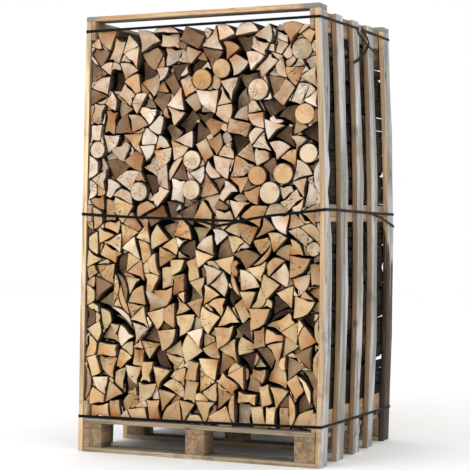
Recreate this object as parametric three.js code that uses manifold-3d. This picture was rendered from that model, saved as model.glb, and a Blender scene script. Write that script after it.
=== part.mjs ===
// Tall slatted crate of firewood on a wooden pallet, open at the front and at the back.
// Millimetres: X to the right along the front, Y into the depth, Z up, z = 0 on the ground.
import * as THREE from "three";
import { mergeGeometries, mergeVertices } from "three/addons/utils/BufferGeometryUtils.js";
import Module from "manifold-3d";

const wasm = await Module();
wasm.setup();
const { lerp, clamp, degToRad } = THREE.MathUtils;

// driving dimensions
const gap = 0.3;
const crate = { front: -500, back: 500, height: 2100 };
const pallet = { left: -609.3, length: 1200, thick: 22, boardWide: 98, blockSize: 100, blockTall: 95, deckBoards: 5 };
const wall = { top: 2078, thick: 25, steps: 8 };
const rail = { thick: 22, spans: [[162.2, 246], [1114, 1194], [1988, 2077.6]] };
const topRail = { left: -589, length: 1200, wide: 97 };
const strap = { wide: 13, thick: 1.2 };
const stack = {
  floor: 162.6,
  top: 2026,
  wallGap: 2.5,
  logGap: 2.2,
  looseGap: 2,
  rows: {
    front: { ends: -497, base: -456, back: -166 },
    middle: { front: -161, back: 161 },
    back: { ends: 497, base: 456, front: 166 },
  },
};
const deckTop = 3 * (pallet.thick + gap) + pallet.blockTall;

// side boards: where the front edge is along Y, how wide the board is, and how its rear edge waves
const rightBoards = [
  { y: crate.front, wide: 92, waves: [], knots: [[0, 92], [1000, 90], [1110, 84], [1190, 42], [1270, 38],
    [1360, 76], [1435, 46], [1520, 76], [1640, 88], [1760, 98], [2078, 98]], steps: 20 },
  { y: -284, wide: 88, waves: [[9, 610, 0.4], [5, 250, 1.1]] },
  { y: -56, wide: 82, waves: [[10, 720, 2.2], [4, 310, 0.2]] },
  { y: 152, wide: 84, waves: [[10, 830, 4.1], [4, 270, 2.5]] },
  { y: 404, wide: 90, waves: [[5, 560, 3.0]] },
];
const leftBoards = [
  { y: crate.front, wide: 90, waves: [[8, 780, 1.9], [4, 240, 0.6]] },
  { y: -278, wide: 86, waves: [[10, 650, 0.1], [5, 300, 3.3]] },
  { y: -44, wide: 92, waves: [[7, 900, 2.7]] },
  { y: 176, wide: 80, waves: [[11, 540, 5.0], [4, 230, 1.0]] },
  { y: 402, wide: 92, waves: [[5, 700, 0.8]] },
];

// outer faces of the two side walls: both lean a little, and the load bows the right one outwards
const wallBow = (z) => Math.sin((Math.PI * z) / wall.top);
const outerFace = {
  left: (z) => lerp(-638, -589, z / wall.top) - 3 * wallBow(z),
  right: (z) => lerp(616, 611, z / wall.top) + 26 * wallBow(z),
};
const innerFace = {
  left: (z) => outerFace.left(z) + wall.thick,
  right: (z) => outerFace.right(z) - wall.thick,
};

const materials = {
  palletWood: new THREE.MeshStandardMaterial({ color: 0x9c8468, roughness: 0.85, metalness: 0 }),
  boardWood: new THREE.MeshStandardMaterial({ color: 0xa8a29a, roughness: 0.85, metalness: 0 }),
  railWood: new THREE.MeshStandardMaterial({ color: 0xc9a878, roughness: 0.8, metalness: 0 }),
  firewood: new THREE.MeshStandardMaterial({ color: 0xd2b48c, roughness: 0.9, metalness: 0 }),
  blackBand: new THREE.MeshStandardMaterial({ color: 0x17181c, roughness: 0.45, metalness: 0 }),
  steelSeal: new THREE.MeshStandardMaterial({ color: 0x7d8ea3, roughness: 0.4, metalness: 0.9 }),
};

const object = new THREE.Group();

function addPiece(name, geometry, material) {
  const mesh = new THREE.Mesh(geometry, material);
  mesh.name = name;
  object.add(mesh);
  return mesh;
}

// a plain board from its low and high corner
function board(low, high) {
  const size = high.map((value, axis) => value - low[axis]);
  const geometry = new THREE.BoxGeometry(...size);
  return geometry.translate(...low.map((value, axis) => value + size[axis] / 2));
}

// a seeded run of random numbers, so that every build stacks the same pile
function randomFrom(seed) {
  let state = seed >>> 0;
  return () => {
    state = (state + 0x6d2b79f5) | 0;
    let t = Math.imul(state ^ (state >>> 15), 1 | state);
    t = (t + Math.imul(t ^ (t >>> 7), 61 | t)) ^ t;
    return ((t ^ (t >>> 14)) >>> 0) / 4294967296;
  };
}

// pallet: three bottom boards, nine blocks, three stringers and the deck
function addPallet() {
  const { left, length, thick, boardWide, blockSize, blockTall, deckBoards } = pallet;
  const right = left + length;
  const blockLow = thick + gap;
  const stringerLow = blockLow + blockTall + gap;
  const deckLow = stringerLow + thick + gap;
  const across = [left + blockSize / 2, (left + right) / 2, right - blockSize / 2];
  const deep = [crate.front + blockSize / 2, 0, crate.back - blockSize / 2];
  const half = boardWide / 2;
  deep.forEach((y, row) => {
    addPiece(`pallet_bottom_board_${row + 1}`, board([left, y - half, 0], [right, y + half, thick]), materials.palletWood);
    across.forEach((x, column) => {
      const low = [x - blockSize / 2, y - blockSize / 2, blockLow];
      const high = [x + blockSize / 2, y + blockSize / 2, blockLow + blockTall];
      addPiece(`pallet_block_${row * 3 + column + 1}`, board(low, high), materials.palletWood);
    });
  });
  across.forEach((x, column) => {
    const low = [x - half, crate.front, stringerLow];
    addPiece(`pallet_stringer_${column + 1}`, board(low, [x + half, crate.back, stringerLow + thick]), materials.palletWood);
  });
  for (let i = 0; i < deckBoards; i++) {
    const y = lerp(crate.front + half, crate.back - half, i / (deckBoards - 1));
    addPiece(`pallet_deck_board_${i + 1}`, board([left, y - half, deckLow], [right, y + half, deckTop]), materials.palletWood);
  }
}

// the width of a side board at a height: between its knots, or its mean width with long waves
function boardWidth({ wide, waves, knots }, z) {
  if (knots) {
    const above = knots.findIndex(([height]) => height >= z);
    if (above <= 0) return knots[0][1];
    const [z0, w0] = knots[above - 1];
    const [z1, w1] = knots[above];
    return lerp(w0, w1, (z - z0) / (z1 - z0));
  }
  return waves.reduce((sum, [height, length, phase]) => sum + height * Math.sin((2 * Math.PI * z) / length + phase), wide);
}

// a side board is a box cut into steps along its height, then bent with its wall
function sideBoard(side, shape) {
  const geometry = new THREE.BoxGeometry(1, 1, wall.top, 1, 1, shape.steps ?? wall.steps);
  const position = geometry.getAttribute("position");
  for (let i = 0; i < position.count; i++) {
    const z = clamp(position.getZ(i) + wall.top / 2, 0, wall.top);
    const x = position.getX(i) > 0 === (side === "right") ? outerFace[side](z) : innerFace[side](z);
    const y = position.getY(i) > 0 ? Math.min(shape.y + boardWidth(shape, z), crate.back) : shape.y;
    position.setXYZ(i, x, y, z);
  }
  return geometry;
}

// where a rail lies across X, just inside its wall
function railSpan(side, [low, high]) {
  const faces = [innerFace[side](low), innerFace[side](high)];
  const x = side === "left" ? Math.max(...faces) + 2 * gap : Math.min(...faces) - 2 * gap - rail.thick;
  return [x, x + rail.thick];
}

function addWalls() {
  for (const [side, boards] of [["left", leftBoards], ["right", rightBoards]]) {
    boards.forEach((shape, i) => addPiece(`${side}_board_${i + 1}`, sideBoard(side, shape), materials.boardWood));
    rail.spans.forEach((heights, i) => {
      const [left, right] = railSpan(side, heights);
      const name = `${side}_rail_${["lower", "middle", "upper"][i]}`;
      addPiece(name, board([left, crate.front, heights[0]], [right, crate.back, heights[1]]), materials.railWood);
    });
  }
  for (const [place, y] of [["front", crate.front], ["back", crate.back - topRail.wide]]) {
    const low = [topRail.left, y, wall.top + gap];
    const high = [topRail.left + topRail.length, y + topRail.wide, crate.height];
    addPiece(`top_rail_${place}`, board(low, high), materials.railWood);
  }
}

// a closed band around the crate: a ring of stations, each with its place and the way outwards
function bandLoop(stations, inset = gap) {
  const [near, far, half] = [inset, inset + strap.thick, strap.wide / 2];
  const section = [[near, -half], [far, -half], [far, half], [near, half], [near, -half]];
  const profile = section.map(([out, up]) => new THREE.Vector2(crate.height + out, up));
  const geometry = new THREE.LatheGeometry(profile, stations.length);
  const position = geometry.getAttribute("position");
  for (let i = 0; i < position.count; i++) {
    const station = stations[Math.floor(i / section.length) % stations.length];
    const [out, up] = section[i % section.length];
    const [x, y, z] = station.place;
    position.setXYZ(i, x + station.out[0] * out, y + station.out[1] * out, z + up);
  }
  return geometry;
}

// a band's stations: its heights along the front by x, along the right side by y, and at the two back corners
function bandStations({ frontHeights, sideHeights, backRight, backLeft }) {
  const stations = [];
  const add = (x, y, z, angle) =>
    stations.push({ place: [x, y, z], out: [Math.cos(degToRad(angle)), Math.sin(degToRad(angle))] });
  const corner = (x, y, z, from) => [0, 90].forEach((turn) => add(x, y, z, from + turn));
  const [leftZ, rightZ] = [frontHeights[0][1], frontHeights.at(-1)[1]];
  corner(outerFace.left(leftZ), crate.front, leftZ, 180);
  frontHeights.slice(1, -1).forEach(([x, z]) => add(x, crate.front, z, 270));
  corner(outerFace.right(rightZ), crate.front, rightZ, 270);
  sideHeights.forEach(([y, z]) => add(outerFace.right(z), y, z, 0));
  corner(outerFace.right(backRight), crate.back, backRight, 0);
  corner(outerFace.left(backLeft), crate.back, backLeft, 90);
  return stations;
}

// a loose end of a band, along a hand-placed route
function bandEnd(route) {
  const { wide, thick } = strap;
  const section = new THREE.Shape();
  section.moveTo(-thick / 2, -wide / 2);
  section.lineTo(thick / 2, -wide / 2);
  section.lineTo(thick / 2, wide / 2);
  section.lineTo(-thick / 2, wide / 2);
  const extrudePath = new THREE.CatmullRomCurve3(route.map((place) => new THREE.Vector3(...place)));
  return new THREE.ExtrudeGeometry(section, { extrudePath, steps: 2 * route.length, bevelEnabled: false });
}

function addStraps() {
  const topHeights = {
    frontHeights: [[-600, 2030], [600, 2038]],
    sideHeights: [[0, 2045]],
    backRight: 2044,
    backLeft: 2036,
  };
  const beside = (z, out = 1) => outerFace.right(z) + out;
  const longEnd = [[beside(2045), 62, 2045], [beside(2021, 6), 116, 2021], [beside(1994, 14), 131, 1994],
    [beside(1956, 15), 97, 1956], [beside(1924, 14), 48, 1924], [beside(1896, 11), -6, 1896],
    [beside(1870, 8), -87, 1870]];
  const shortEnd = [[beside(2045), -4, 2044], [beside(2018, 5), 16, 2018], [beside(1998, 10), 54, 1998], [beside(1969, 22), 97, 1969],
    [beside(1951, 25), 164, 1951], [beside(1930, 22), 237, 1930]];
  const top = [bandLoop(bandStations(topHeights)), bandEnd(longEnd), bandEnd(shortEnd)];
  addPiece("strap_top", joined(top), materials.blackBand);
  const sealX = outerFace.right(2045) + gap + strap.thick + gap;
  const seal = board([sealX, 22, 2037], [sealX + 3, 48, 2054]);
  addPiece("strap_top_seal", seal, materials.steelSeal);

  const pulledDown = [[-600, 1150], [-516, 1144], [-325, 1134], [-60, 1126], [64, 1121], [232, 1117], [282, 1128],
    [376, 1142], [518, 1156], [600, 1169]];
  const middle = {
    frontHeights: pulledDown,
    sideHeights: [[-357, 1169], [62, 1158], [136, 1156]],
    backRight: 1151,
    backLeft: 1140,
  };
  addPiece("strap_middle", bandLoop(bandStations(middle)), materials.blackBand);
  const second = {
    frontHeights: [...pulledDown.slice(0, 4), [20, 1117], [107, 1094], [170, 1104], ...pulledDown.slice(5)],
    sideHeights: [[-357, 1169], [62, 1158], [136, 1156], [290, 1134]],
    backRight: 1089,
    backLeft: 1118,
  };
  const overFirst = strap.thick + 2 * gap;
  addPiece("strap_middle_second", bandLoop(bandStations(second), overFirst), materials.blackBand);
  const bottom = {
    frontHeights: [[-600, 170], [0, 176], [444, 184], [600, 188]],
    sideHeights: [[0, 176]],
    backRight: 168,
    backLeft: 169,
  };
  addPiece("strap_bottom", bandLoop(bandStations(bottom)), materials.blackBand);
}

// three.js geometry to a manifold solid, and back
function solidFrom(geometry) {
  const bare = geometry.clone();
  bare.deleteAttribute("normal");
  bare.deleteAttribute("uv");
  const merged = mergeVertices(bare, 1e-3);
  const mesh = new wasm.Mesh({
    numProp: 3,
    vertProperties: merged.getAttribute("position").array,
    triVerts: new Uint32Array(merged.index.array),
  });
  return new wasm.Manifold(mesh);
}

function geometryFrom(solid) {
  const mesh = solid.getMesh();
  const geometry = new THREE.BufferGeometry();
  geometry.setAttribute("position", new THREE.BufferAttribute(mesh.vertProperties, 3));
  geometry.setIndex(new THREE.BufferAttribute(mesh.triVerts, 1));
  return geometry;
}

function joined(geometries) {
  return geometryFrom(geometries.map(solidFrom).reduce((sum, solid) => sum.add(solid)));
}

// outlines of log ends, as [x, z] corners in anticlockwise order
const onCircle = (radius, degrees) => [radius * Math.cos(degToRad(degrees)), radius * Math.sin(degToRad(degrees))];
const narrowWedge = (radius, angle) => [[0, 0], onCircle(radius, -angle / 2), onCircle(radius, angle / 2)];
const wideWedge = (radius, angle) => [[0, 0], ...[-0.5, 0, 0.5].map((part) => onCircle(radius, part * angle))];
const halfRound = (radius) => [0, 60, 120, 180].map((degrees) => onCircle(radius, degrees));
const roundLog = (radius) => Array.from({ length: 8 }, (_, i) => onCircle(radius, i * 45));
const slab = (radius, angle) => [-0.5, -0.17, 0.17, 0.5].map((part) => onCircle(radius, part * angle));
const outerSplit = (inner, radius, angle) =>
  [onCircle(inner, -0.7 * angle), ...[-0.5, 0, 0.5].map((part) => onCircle(radius, part * angle)), onCircle(inner, 0.7 * angle)];

const moved = (outline, x, z) => outline.map(([px, pz]) => [px + x, pz + z]);
const scaled = (outline, factor) => outline.map(([px, pz]) => [px * factor, pz * factor]);
const turned = (outline, degrees) => {
  const [c, s] = onCircle(1, degrees);
  return outline.map(([x, z]) => [x * c - z * s, x * s + z * c]);
};
const areaOf = (outline) => THREE.ShapeUtils.area(outline.map(([x, y]) => ({ x, y })));
const boundsOf = (outline) => {
  const [xs, zs] = [outline.map(([x]) => x), outline.map(([, z]) => z)];
  return { left: Math.min(...xs), right: Math.max(...xs), low: Math.min(...zs), high: Math.max(...zs) };
};

function centred(outline) {
  const { left, right, low, high } = boundsOf(outline);
  return moved(outline, -(left + right) / 2, -(low + high) / 2);
}

// the kinds of split log that fill a row, with the small ones that go in the holes after them
function logKinds(random, size) {
  const between = (low, high) => lerp(low, high, random()) * size;
  const angle = (low, high) => lerp(low, high, random());
  const several = (count, make) => Array.from({ length: count }, make);
  const fourSided = () => {
    const [width, height, lean] = [between(70, 110), between(45, 70), between(-22, 22)];
    return [[0, 0], [width, between(-8, 8)], [width + 0.4 * lean, height], [lean, height * angle(0.7, 1.1)]];
  };
  const splinter = () => {
    const [width, height] = [between(40, 72), between(20, 36)];
    return [[0, 0], [width, 0], [width * angle(0.2, 0.8), height]];
  };
  const large = [
    ...several(10, () => narrowWedge(between(88, 122), angle(42, 60))),
    ...several(8, () => wideWedge(between(78, 112), angle(60, 86))),
    ...several(5, () => wideWedge(between(62, 80), angle(62, 95))),
    ...several(4, () => halfRound(between(48, 62))),
    ...several(5, () => outerSplit(between(28, 45), between(95, 122), angle(36, 54))),
    ...several(4, () => slab(between(75, 112), angle(85, 110))),
    ...several(6, fourSided),
    ...several(3, () => narrowWedge(between(46, 60), angle(45, 60))),
  ];
  const small = [
    ...several(8, () => narrowWedge(between(36, 62), angle(45, 70))),
    ...several(6, splinter),
    ...several(3, () => halfRound(between(22, 32))),
  ];
  return { large: large.map(centred), small: small.map(centred) };
}

// how far a row of logs may reach to the left and the right at a height
function sideLimits(z) {
  const besideRail = rail.spans.some(([low, high]) => z > low - 4 && z < high + 4);
  const inset = stack.wallGap + (besideRail ? rail.thick + 4.5 : 0);
  return [innerFace.left(z) + inset, innerFace.right(z) - inset];
}

// the pile seen from its ends, as a grid of cells that are free, taken, or given up as a gap
class PileGrid {
  static cell = 4;
  static free = 0;
  static taken = 1;
  static givenUp = 2;

  constructor() {
    const { cell } = PileGrid;
    this.left = pallet.left - 31;
    this.columns = Math.ceil((pallet.length + 70) / cell);
    this.rows = Math.ceil((stack.top - stack.floor) / cell);
    this.cells = new Uint8Array(this.columns * this.rows);
    for (let row = 0; row < this.rows; row++) {
      const [low, high] = sideLimits(stack.floor + (row + 0.5) * cell);
      for (let column = 0; column < this.columns; column++) {
        const x = this.left + (column + 0.5) * cell;
        if (x < low || x > high) this.cells[row * this.columns + column] = PileGrid.taken;
      }
    }
  }

  // the cells that an outline covers about its own centre, one run of columns a row
  static runsOf(outline) {
    const { cell } = PileGrid;
    const { low, high } = boundsOf(outline);
    const runs = [];
    for (let row = Math.floor(low / cell); row < Math.ceil(high / cell); row++) {
      const z = (row + 0.5) * cell;
      const crossings = outline.flatMap(([xa, za], i) => {
        const [xb, zb] = outline[(i + 1) % outline.length];
        return za <= z !== zb <= z ? [lerp(xa, xb, (z - za) / (zb - za))] : [];
      });
      if (crossings.length < 2) continue;
      runs.push([row, Math.floor(Math.min(...crossings) / cell), Math.ceil(Math.max(...crossings) / cell) - 1]);
    }
    return runs;
  }

  at(column, row) {
    if (column < 0 || column >= this.columns || row < 0) return PileGrid.taken;
    return row < this.rows ? this.cells[row * this.columns + column] : PileGrid.free;
  }

  fits(runs, column, row) {
    for (const [up, from, to] of runs) {
      const line = row + up;
      if (line < 0 || line >= this.rows || column + from < 0 || column + to >= this.columns) return false;
      for (let i = line * this.columns + column + from; i <= line * this.columns + column + to; i++) {
        if (this.cells[i] === PileGrid.taken) return false;
      }
    }
    return true;
  }

  fill(runs, column, row) {
    for (const [up, from, to] of runs) {
      for (let i = column + from; i <= column + to; i++) this.cells[(row + up) * this.columns + i] = PileGrid.taken;
    }
  }

  // the share of an outline's edge cells that have something against them
  contact(runs, column, row) {
    let touching = 0;
    let all = 0;
    const look = (i, line) => {
      all += 1;
      if (this.at(i, line) === PileGrid.taken) touching += 1;
    };
    const lookAlong = (run, next, line) => {
      const [, from, to] = run;
      for (let i = from; i <= to; i++) {
        if (!next || i < next[1] || i > next[2]) look(column + i, line);
      }
    };
    runs.forEach((run, i) => {
      const line = row + run[0];
      look(column + run[1] - 1, line);
      look(column + run[2] + 1, line);
      lookAlong(run, runs[i - 1], line - 1);
      lookAlong(run, runs[i + 1], line + 1);
    });
    return touching / all;
  }

  // a run of free cells in a row, picked at random
  freeRun(row, random) {
    const runs = [];
    for (let column = 0; column < this.columns; column++) {
      if (this.at(column, row) !== PileGrid.free) continue;
      const last = runs.at(-1);
      if (last && last[1] === column - 1) last[1] = column;
      else runs.push([column, column]);
    }
    return runs[Math.floor(random() * runs.length)];
  }

  giveUp(run, row) {
    for (let i = run[0]; i <= run[1]; i++) this.cells[row * this.columns + i] = PileGrid.givenUp;
  }

  reopen() {
    this.cells = this.cells.map((value) => (value === PileGrid.givenUp ? PileGrid.free : value));
  }
}

// fill the grid from the ground up, each time with the outline that lies closest against what is there
function fillPile(grid, outlines, taste, random) {
  const turns = 20;
  const choices = outlines.flatMap((outline, kind) =>
    Array.from({ length: turns }, (_, i) => {
      const shape = turned(outline, ((i + random()) * 360) / turns);
      return { shape, kind, runs: PileGrid.runsOf(shape), area: areaOf(shape), used: 0 };
    }));
  const usedKinds = outlines.map(() => 0);
  const placed = [];
  for (let row = 0; row < grid.rows; ) {
    const run = grid.freeRun(row, random);
    if (!run) {
      row += 1;
      continue;
    }
    let best = null;
    for (const choice of choices) {
      const [lowest, from, to] = choice.runs[0];
      for (const edge of [run[0], run[1], Math.round((run[0] + run[1]) / 2)]) {
        for (const nudge of [-2, 0, 2]) {
          const column = edge - Math.round((from + to) / 2) + nudge;
          if (!grid.fits(choice.runs, column, row - lowest)) continue;
          const score = grid.contact(choice.runs, column, row - lowest)
            + taste.size * Math.log(choice.area / taste.area) + taste.chance * random()
            - 0.1 * choice.used - 0.008 * usedKinds[choice.kind];
          if (!best || score > best.score) best = { score, choice, column, row: row - lowest };
        }
      }
    }
    if (!best || best.score < taste.least) {
      grid.giveUp(run, row);
      continue;
    }
    grid.fill(best.choice.runs, best.column, best.row);
    best.choice.used += 1;
    usedKinds[best.choice.kind] += 1;
    const [x, z] = [grid.left + best.column * PileGrid.cell, stack.floor + best.row * PileGrid.cell];
    placed.push({ outline: moved(best.choice.shape, x, z) });
  }
  return placed;
}

// the widest distance between two convex outlines, measured square to one of their edges
function distanceApart(first, second) {
  let widest = -Infinity;
  for (const [outline, other] of [[first, second], [second, first]]) {
    outline.forEach(([xa, za], i) => {
      const [xb, zb] = outline[(i + 1) % outline.length];
      const length = Math.hypot(xb - xa, zb - za);
      const [nx, nz] = [(zb - za) / length, (xa - xb) / length];
      const nearest = other.reduce((least, [x, z]) => Math.min(least, (x - xa) * nx + (z - za) * nz), Infinity);
      widest = Math.max(widest, nearest);
    });
  }
  return widest;
}

// shrink the logs that touch, then let each shift, turn and grow a little into the room around it
function settlePile(logs, random, rounds) {
  const inside = (outline) => outline.every(([x, z]) => {
    const [left, right] = sideLimits(z);
    return x >= left && x <= right && z >= stack.floor + 0.5 && z <= stack.top + 10;
  });
  const rails = ["left", "right"].flatMap((side) => rail.spans.map((heights) => {
    const [[left, right], [low, high]] = [railSpan(side, heights), heights];
    return [[left, low], [right, low], [right, high], [left, high]];
  }));
  const offRails = (outline) => rails.every((corners) => distanceApart(outline, corners) >= stack.logGap);
  const near = (a, b) => a.left < b.right + stack.logGap && a.right > b.left - stack.logGap
    && a.low < b.high + stack.logGap && a.high > b.low - stack.logGap;
  const clear = (outline, bounds, own) => inside(outline) && offRails(outline) && logs.every((log) =>
    log === own || !near(bounds, log.bounds) || distanceApart(outline, log.outline) >= stack.logGap);
  const changed = (log, shift, turn, size) => {
    const [x, z] = [(log.bounds.left + log.bounds.right) / 2, (log.bounds.low + log.bounds.high) / 2];
    return moved(scaled(turned(moved(log.outline, -x, -z), turn), size), x + shift[0], z + shift[1]);
  };
  for (const log of logs) Object.assign(log, { bounds: boundsOf(log.outline), size: 1 });
  for (const log of logs) {
    while (!log.fixed && log.size > 0.5 && !clear(log.outline, log.bounds, log)) {
      log.outline = changed(log, [0, 0], 0, 0.975);
      log.bounds = boundsOf(log.outline);
      log.size *= 0.975;
    }
  }
  logs = logs.filter((log) => log.fixed || log.size > 0.5);
  for (let round = 0; round < rounds; round++) {
    for (const log of logs) {
      if (log.fixed) continue;
      const grow = log.size < 1.16 ? 1 + 0.02 * random() : 1;
      const outline = changed(log, [4 * (random() - 0.5), 4 * (random() - 0.62)], 4 * (random() - 0.5), grow);
      const bounds = boundsOf(outline);
      if (!clear(outline, bounds, log)) continue;
      Object.assign(log, { outline, bounds, size: log.size * grow });
    }
  }
  return logs;
}

function makePile({ seed, size, keyLogs }) {
  const random = randomFrom(seed);
  const grid = new PileGrid();
  const logs = keyLogs.map(({ x, z, shape }) => {
    const { cell } = PileGrid;
    const [column, row] = [Math.round((x - grid.left) / cell), Math.round((z - stack.floor) / cell)];
    grid.fill(PileGrid.runsOf(shape), column, row);
    return { outline: moved(shape, x, z), fixed: true };
  });
  const { large, small } = logKinds(random, size);
  const area = 5200 * size * size;
  logs.push(...fillPile(grid, large, { size: 0.3, area, chance: 0.2, least: 0.2 }, random));
  grid.reopen();
  logs.push(...fillPile(grid, small, { size: 0.3, area: area / 4, chance: 0.1, least: 0.5 }, random));
  return settlePile(logs, random, 90);
}

// the row as a core under the top logs, and every log as a prism that stands out of the core's open end
function prism(outline, from, to) {
  const shape = new THREE.Shape(outline.map(([x, z]) => new THREE.Vector2(x, z)));
  const geometry = new THREE.ExtrudeGeometry(shape, { depth: to - from, bevelEnabled: false });
  return geometry.rotateX(Math.PI / 2).translate(0, to, 0);
}

// the heights at which an outline crosses an upright line, and the lowest and highest of them
function heightsAt(outline, x) {
  return outline.flatMap(([xa, za], i) => {
    const [xb, zb] = outline[(i + 1) % outline.length];
    return xa <= x !== xb <= x ? [lerp(za, zb, (x - xa) / (xb - xa))] : [];
  });
}

function edgesAt(outline, x) {
  const heights = heightsAt(outline, x);
  return heights.length < 2 ? null : [Math.min(...heights), Math.max(...heights)];
}

// the highest logs with nothing on them lie loose
function pickLoose(logs, count) {
  const middle = (log) => (log.bounds.left + log.bounds.right) / 2;
  const buried = (log) => logs.some((other) => other !== log && other.bounds.low > log.bounds.low
    && edgesAt(other.outline, middle(log))?.[0] > log.bounds.low + 20);
  const free = logs.filter((log) => !log.fixed && areaOf(log.outline) > 2200 && log.bounds.high > stack.top - 60 && !buried(log));
  return free.sort((a, b) => b.bounds.low - a.bounds.low).slice(0, count);
}

// the top line of the core: under the loose logs and a little under the others
function coreTop(logs, loose, from, to) {
  const step = 4;
  const spacing = 48;
  const heightAt = (x) => {
    const tops = logs.filter((log) => !loose.includes(log)).map((log) => edgesAt(log.outline, x)?.[1] ?? 0);
    const under = loose.map((log) => edgesAt(log.outline, x)?.[0] ?? Infinity);
    return Math.min(Math.max(...tops) - 12, ...under.map((z) => z - stack.looseGap));
  };
  const columns = Math.round((to - from) / spacing);
  return Array.from({ length: columns + 1 }, (_, i) => {
    const x = lerp(from, to, i / columns);
    let lowest = Infinity;
    for (let near = x - spacing; near <= x + spacing; near += step) {
      if (near > from && near < to) lowest = Math.min(lowest, heightAt(near));
    }
    return [x, lowest];
  });
}

// the sides of the core follow the walls and step in beside the rails
function coreSide(side, top) {
  const sign = side === "left" ? -1 : 1;
  const limit = (z) => sideLimits(z)[side === "left" ? 0 : 1] + 0.7 * sign;
  const heights = [stack.floor, ...rail.spans.flatMap(([low, high]) => [low - 4.01, low - 3.99, high + 3.99, high + 4.01]),
    450, 700, 900, 1400, 1600, 1800];
  return heights.filter((z) => z >= stack.floor && z < top - 1).sort((a, b) => a - b).map((z) => [limit(z), z]);
}

function coreOutline(logs, loose) {
  const [left, right] = sideLimits(rail.spans[2][0]);
  const line = coreTop(logs, loose, left, right);
  const leftSide = coreSide("left", line[0][1]);
  const rightSide = coreSide("right", line.at(-1)[1]);
  return [...rightSide, ...line.reverse(), ...leftSide.reverse()];
}

function addRow(name, logs, { looseCount, from, to, ends, base, random }) {
  const loose = pickLoose(logs, looseCount);
  const outline = coreOutline(logs, loose);
  const aboveCore = (log) => log.outline.map(([x, z]) => z - Math.max(...heightsAt(outline, x), 0));
  let solid = solidFrom(prism(outline, from, to));
  const prisms = [];
  for (const log of logs) {
    const reach = aboveCore(log);
    if (loose.includes(log) || Math.min(...reach) > -2) continue;
    const onTop = Math.max(...reach) > 0;
    if (ends === undefined) {
      if (onTop) prisms.push(prism(log.outline, from + 1, to - 1));
      continue;
    }
    const recess = random() < 0.14 ? lerp(30, 38, random()) : lerp(0, 24, random());
    const end = ends < 0 ? ends + recess : ends - recess;
    const inner = onTop ? (ends < 0 ? to - 1 : from + 1) : base + (ends < 0 ? 6 : -6);
    prisms.push(prism(log.outline, Math.min(end, inner), Math.max(end, inner)));
  }
  solid = solid.add(solidFrom(mergeGeometries(prisms)));
  addPiece(`firewood_${name}_row`, geometryFrom(solid), materials.firewood);
  loose.forEach((log, i) => {
    const [near, far] = ends === undefined ? [from + 4, to - 4] : ends < 0 ? [ends + 10 * random(), to] : [from, ends - 10 * random()];
    addPiece(`loose_log_${name}_${i + 1}`, prism(log.outline, near, far), materials.firewood);
  });
}

// logs that the pile is built around: round ones, by the place of their centre and their radius
const roundLogs = [
  [114, 1827, 46], [16, 1779, 50], [413, 1927, 46], [512, 1900, 51], [305, 1722, 51], [535, 1604, 48],
  [550, 1425, 45], [431, 1333, 48], [300, 1326, 45], [-32, 1403, 46], [-535, 1460, 42], [-309, 1257, 46],
  [-36, 1263, 48], [365, 1247, 52], [572, 990, 34],
];

function addFirewood() {
  const keyLogs = roundLogs.map(([x, z, radius]) => ({ x, z, shape: turned(roundLog(radius), (x * 7) % 45) }));
  const frontLogs = makePile({ seed: 11, size: 1, keyLogs });
  const backLogs = makePile({ seed: 23, size: 1.7, keyLogs: [] });
  const mirror = ([x, z]) => [innerFace.left(z) + innerFace.right(z) - x, z];
  const middleLogs = frontLogs.map((log) => {
    const outline = log.outline.map(mirror).reverse();
    return { outline, bounds: boundsOf(outline), fixed: log.fixed };
  });
  const { front, middle, back } = stack.rows;
  const random = randomFrom(5);
  addRow("front", frontLogs, { looseCount: 6, from: front.base, to: front.back, ends: front.ends, base: front.base, random });
  addRow("middle", middleLogs, { looseCount: 4, from: middle.front, to: middle.back, random });
  addRow("back", backLogs, { looseCount: 4, from: back.front, to: back.base, ends: back.ends, base: back.base, random });
}

addPallet();
addWalls();
addStraps();
addFirewood();

export default object;
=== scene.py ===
import math
import random

import bmesh
import bpy
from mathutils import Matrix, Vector


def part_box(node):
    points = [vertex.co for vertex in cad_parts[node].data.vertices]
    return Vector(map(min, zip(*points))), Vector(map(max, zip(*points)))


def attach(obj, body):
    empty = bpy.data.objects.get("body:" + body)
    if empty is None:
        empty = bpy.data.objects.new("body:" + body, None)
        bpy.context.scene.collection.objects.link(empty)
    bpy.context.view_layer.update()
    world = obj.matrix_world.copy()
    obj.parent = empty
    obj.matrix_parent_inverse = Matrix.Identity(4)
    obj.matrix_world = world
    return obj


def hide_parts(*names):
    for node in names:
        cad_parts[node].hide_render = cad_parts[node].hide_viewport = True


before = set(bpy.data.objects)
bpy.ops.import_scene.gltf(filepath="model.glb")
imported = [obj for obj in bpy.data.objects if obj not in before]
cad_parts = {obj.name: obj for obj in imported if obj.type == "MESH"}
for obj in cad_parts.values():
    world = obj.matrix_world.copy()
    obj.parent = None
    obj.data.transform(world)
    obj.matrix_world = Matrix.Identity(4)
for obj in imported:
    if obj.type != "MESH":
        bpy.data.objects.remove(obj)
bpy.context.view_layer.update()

# Crate of firewood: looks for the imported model. Metres, front towards -Y, Z up.

camera = {
    "place": (2.914, -6.590, 1.119),
    "turnLeft": 24.05,  # degrees from +Y
    "tiltUp": -0.57,
    "roll": -0.07,
    "lens": 110.7,
    "sensor": 36.0,
}


def deselectAll():
    if bpy.context.object and bpy.context.object.mode != "OBJECT":
        bpy.ops.object.mode_set(mode="OBJECT")
    bpy.ops.object.select_all(action="DESELECT")


def makeOnlyActive(piece):
    deselectAll()
    piece.select_set(True)
    bpy.context.view_layer.objects.active = piece


def applyModifiers(piece):
    makeOnlyActive(piece)
    for modifier in list(piece.modifiers):
        bpy.ops.object.modifier_apply(modifier=modifier.name)


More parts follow.
